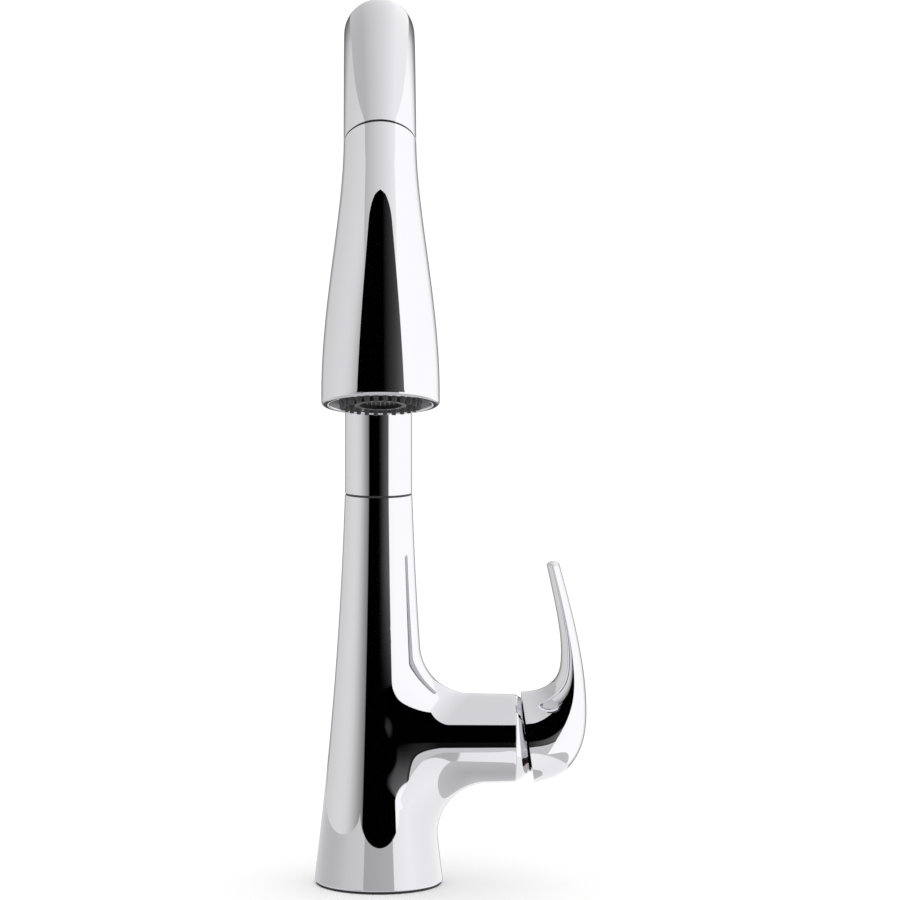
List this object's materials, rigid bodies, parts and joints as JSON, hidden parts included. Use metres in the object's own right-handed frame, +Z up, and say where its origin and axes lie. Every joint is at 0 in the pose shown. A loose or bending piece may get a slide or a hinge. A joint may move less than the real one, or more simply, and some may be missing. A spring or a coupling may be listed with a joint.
{
  "type": "kitchen faucet",
  "caption": "Chrome single-lever pull-down kitchen faucet: flared body, side lever, swivelling high arched spout and a curved pull-out spray head on a hose.",
  "frame": {"origin": "On the body's axis at the deck plane: z = 0 is the underside of the base gasket, where the shank enters the deck hole.", "axes": "+Z up along the body's axis; the spout reaches out along -Y at rest; the lever stands on the +X side."},
  "size_m": [0.1162, 0.2474, 0.4433],
  "materials": {
    "chrome": "polished chrome plate",
    "brass": "turned brass",
    "rubber_black": "moulded black rubber",
    "nozzle_rubber": "soft dark grey silicone rubber",
    "nylon_dark": "dark grey nylon",
    "nylon_white": "natural nylon",
    "ceramic_disc": "lapped alumina",
    "ferrite": "sintered ferrite",
    "cartridge_plastic": "moulded acetal",
    "steel": "machined stainless steel",
    "black_plastic": "moulded black plastic",
    "hose_braid": "rubber hose in grey nylon braid",
    "plug_plastic": "moulded plastic plug"
  },
  "bodies": {
    "base": {"body_shell": "chrome", "base_gasket": "rubber_black", "shank": "brass", "valve_core": "brass", "port_adapters": "brass", "cartridge_seal": "rubber_black", "cartridge_base": "cartridge_plastic", "fixed_disc": "ceramic_disc", "cartridge_housing": "cartridge_plastic", "cartridge_nut": "brass", "hot_limit_ring": "cartridge_plastic", "dome_ring": "chrome", "swivel_washer": "nylon_dark", "swivel_bushings": "nylon_white"},
    "temperature_carrier": {"stem_carrier": "cartridge_plastic", "stem_pin": "steel"},
    "lever": {"lever_stem": "steel", "handle": "chrome", "set_screw": "steel", "index_plug": "plug_plastic"},
    "upper_disc": {"moving_disc": "ceramic_disc", "disc_carriage": "cartridge_plastic"},
    "spout": {"spout_hub": "brass", "spout_clip": "steel", "spout_tube": "chrome", "dock_collar": "nylon_dark", "dock_magnet": "ferrite", "spray_hose": "hose_braid"},
    "hose_end": {"hose_connector": "brass", "connector_seal": "rubber_black", "hose_ferrule": "steel"},
    "sprayhead": {"head_shell": "chrome", "head_core": "black_plastic", "swivel_clip": "steel", "check_valve": "cartridge_plastic", "diverter_body": "black_plastic", "button_pin": "steel", "flow_insert": "black_plastic", "spray_face": "black_plastic", "nozzle_ring": "nozzle_rubber", "aerator_housing": "black_plastic", "aerator_screen": "black_plastic"},
    "button": {"spray_button": "chrome"},
    "spool": {"diverter_spool": "black_plastic"},
    "mount_clamp": {"clamp_rubber": "rubber_black", "clamp_plate": "steel", "mounting_nut": "brass", "clamp_screws": "steel"}
  },
  "joints": [
    {"name": "temperature", "type": "hinge", "parent": "base", "child": "temperature_carrier", "pos_m": [0.0495, 0, 0.0623], "axis": [1, 0, 0], "range_deg": [-45, 45]},
    {"name": "lever_tilt", "type": "hinge", "parent": "temperature_carrier", "child": "lever", "pos_m": [0.0495, 0, 0.0623], "axis": [0, 1, 0], "range_deg": [0, 25]},
    {"name": "disc_slide", "type": "slide", "parent": "temperature_carrier", "child": "upper_disc", "axis": [0, 0, 1], "range_m": [0, 0.0024]},
    {"name": "spout_swivel", "type": "hinge", "parent": "base", "child": "spout", "pos_m": [0, 0, 0.168], "axis": [0, 0, 1], "continuous": true},
    {"name": "head_pull", "type": "slide", "parent": "spout", "child": "hose_end", "axis": [0, -0.6691, -0.7431], "range_m": [0, 0.4], "stiffness_N_per_m": 5, "springref_m": -1.4, "deforming": ["spray_hose"]},
    {"name": "head_swivel", "type": "hinge", "parent": "hose_end", "child": "sprayhead", "pos_m": [0, -0.1409, 0.32249], "axis": [0, -0.6691, -0.7431], "continuous": true},
    {"name": "button_rock", "type": "hinge", "parent": "sprayhead", "child": "button", "pos_m": [0, -0.16181, 0.26843], "axis": [-1, 0, 0], "range_deg": [0, 6]},
    {"name": "spool_slide", "type": "slide", "parent": "sprayhead", "child": "spool", "axis": [0, 0.4786, 0.878], "range_m": [0, 0.0006]},
    {"name": "clamp_slide", "type": "slide", "parent": "base", "child": "mount_clamp", "axis": [0, 0, -1], "range_m": [0, 0.06]}
  ],
  "couplings": [
    {"joint": "disc_slide", "follows": "lever_tilt", "m_per_rad": 0.00544},
    {"joint": "spool_slide", "follows": "button_rock", "m_per_rad": 0.005}
  ]
}
